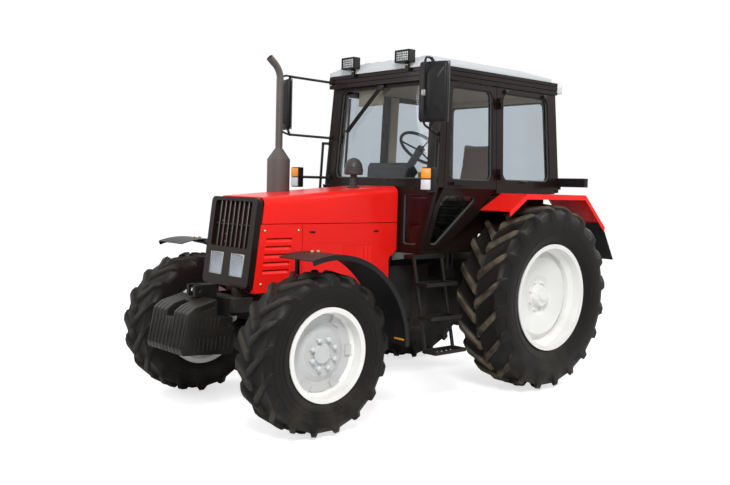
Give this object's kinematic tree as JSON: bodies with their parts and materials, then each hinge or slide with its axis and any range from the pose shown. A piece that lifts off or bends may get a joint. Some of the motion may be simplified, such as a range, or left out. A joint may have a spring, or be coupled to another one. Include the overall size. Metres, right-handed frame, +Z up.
{
  "type": "farm tractor",
  "caption": "Four-wheel-drive farm tractor with a glazed cab, long slatted bonnet, front ballast slabs, steered front wheels, opening doors and a three-point rear hitch.",
  "frame": {"origin": "middle of the footprint, on the ground", "axes": "+X forward, +Y to the driver's left, +Z up"},
  "size_m": [4.2, 2.0932, 2.845],
  "materials": {
    "red": "gloss",
    "dark_paint": "satin",
    "black_paint": "satin",
    "cast": "matt",
    "core": "matt",
    "lamp": "gloss",
    "amber": "gloss",
    "burnt": "matt",
    "black_plastic": "matt",
    "grey_plastic": "matt",
    "white_panel": "satin",
    "white_rim": "satin",
    "seat_cloth": "matt",
    "flap": "matt",
    "tyre": "matt",
    "glass": "gloss"
  },
  "bodies": {
    "chassis": {"bonnet_cover": "red", "bonnet_sides": "red", "rear_fenders": "red", "grille": "dark_paint", "cab_tub": "dark_paint", "firewall": "dark_paint", "windscreen_frame": "dark_paint", "rear_wall": "dark_paint", "quarter_frames": "dark_paint", "roof_frame": "dark_paint", "weight_carrier": "black_paint", "cab_mounts": "black_paint", "steps": "black_paint", "grab_rails": "black_paint", "drawbar": "black_paint", "top_link": "black_paint", "front_frame": "cast", "engine": "cast", "transmission": "cast", "rear_axle": "cast", "front_axle": "cast", "drive_shaft": "cast", "front_weights": "cast", "radiator": "core", "headlamps": "lamp", "indicators": "amber", "exhaust": "burnt", "mirrors": "black_plastic", "lamps": "black_plastic", "steering_wheel": "black_plastic", "dash": "grey_plastic", "roof_cap": "white_panel", "seat": "seat_cloth", "mud_flaps": "flap", "firewall_glass": "glass", "windscreen": "glass", "rear_glass": "glass", "quarter_glass": "glass"},
    "steer_left": {"knuckle_left": "cast", "front_fender_left": "black_plastic"},
    "steer_right": {"knuckle_right": "cast", "front_fender_right": "black_plastic"},
    "wheel_front_left": {"front_tyre_left": "tyre", "front_wheel_left": "white_rim"},
    "wheel_front_right": {"front_tyre_right": "tyre", "front_wheel_right": "white_rim"},
    "wheel_rear_left": {"rear_tyre_left": "tyre", "rear_wheel_left": "white_rim"},
    "wheel_rear_right": {"rear_tyre_right": "tyre", "rear_wheel_right": "white_rim"},
    "door_left": {"door_left": "dark_paint", "door_glass_left": "glass"},
    "door_right": {"door_right": "dark_paint", "door_glass_right": "glass"},
    "bonnet": {"bonnet_top": "red", "precleaner": "black_plastic"},
    "tie_rod": {"tie_rod": "cast"},
    "lower_links": {"lower_links": "black_paint"},
    "lift_arms": {"lift_arms": "black_paint"},
    "lift_rods": {"lift_rods": "black_paint"}
  },
  "joints": [
    {"name": "steer_left", "type": "hinge", "parent": "chassis", "child": "steer_left", "pos_m": [1.38, 0.59, 0.575], "axis": [0, 0, 1], "range_deg": [-35, 35]},
    {"name": "steer_right", "type": "hinge", "parent": "chassis", "child": "steer_right", "pos_m": [1.38, -0.59, 0.575], "axis": [0, 0, 1], "range_deg": [-36, 36]},
    {"name": "tie_rod", "type": "hinge", "parent": "steer_left", "child": "tie_rod", "pos_m": [1.15, 0.59, 0.487], "axis": [0, 0, 1], "range_deg": [-36, 36]},
    {"name": "roll_front_left", "type": "hinge", "parent": "steer_left", "child": "wheel_front_left", "pos_m": [1.38, 0.812, 0.575], "axis": [0, 1, 0], "continuous": true},
    {"name": "roll_front_right", "type": "hinge", "parent": "steer_right", "child": "wheel_front_right", "pos_m": [1.38, -0.812, 0.575], "axis": [0, 1, 0], "continuous": true},
    {"name": "roll_rear_left", "type": "hinge", "parent": "chassis", "child": "wheel_rear_left", "pos_m": [-1.07, 0.815, 0.812], "axis": [0, 1, 0], "continuous": true},
    {"name": "roll_rear_right", "type": "hinge", "parent": "chassis", "child": "wheel_rear_right", "pos_m": [-1.07, -0.815, 0.812], "axis": [0, 1, 0], "continuous": true},
    {"name": "door_left", "type": "hinge", "parent": "chassis", "child": "door_left", "pos_m": [-0.655, 0.745, 1.74], "axis": [0, -0.0401, 0.9992], "range_deg": [0, 60]},
    {"name": "door_right", "type": "hinge", "parent": "chassis", "child": "door_right", "pos_m": [-0.655, -0.745, 1.74], "axis": [0, -0.0401, -0.9992], "range_deg": [0, 60]},
    {"name": "bonnet", "type": "hinge", "parent": "chassis", "child": "bonnet", "pos_m": [1.47, 0, 1.61178], "axis": [0, 1, 0], "range_deg": [0, 30]},
    {"name": "hitch_lift", "type": "hinge", "parent": "chassis", "child": "lower_links", "pos_m": [-1.25, 0, 0.43], "axis": [0, 1, 0], "range_deg": [-15, 25]},
    {"name": "lift_arms", "type": "hinge", "parent": "chassis", "child": "lift_arms", "pos_m": [-1.31, 0, 1.07], "axis": [0, 1, 0], "range_deg": [-16, 26]},
    {"name": "lift_rods", "type": "hinge", "parent": "lift_arms", "child": "lift_rods", "pos_m": [-1.71, 0, 1.11], "axis": [0, 1, 0], "range_deg": [-26, 16]}
  ],
  "couplings": [
    {"joint": "steer_right", "follows": "steer_left", "ratio": 1},
    {"joint": "tie_rod", "follows": "steer_left", "ratio": -1},
    {"joint": "lift_arms", "follows": "hitch_lift", "ratio": 1},
    {"joint": "lift_rods", "follows": "hitch_lift", "ratio": -1}
  ]
}
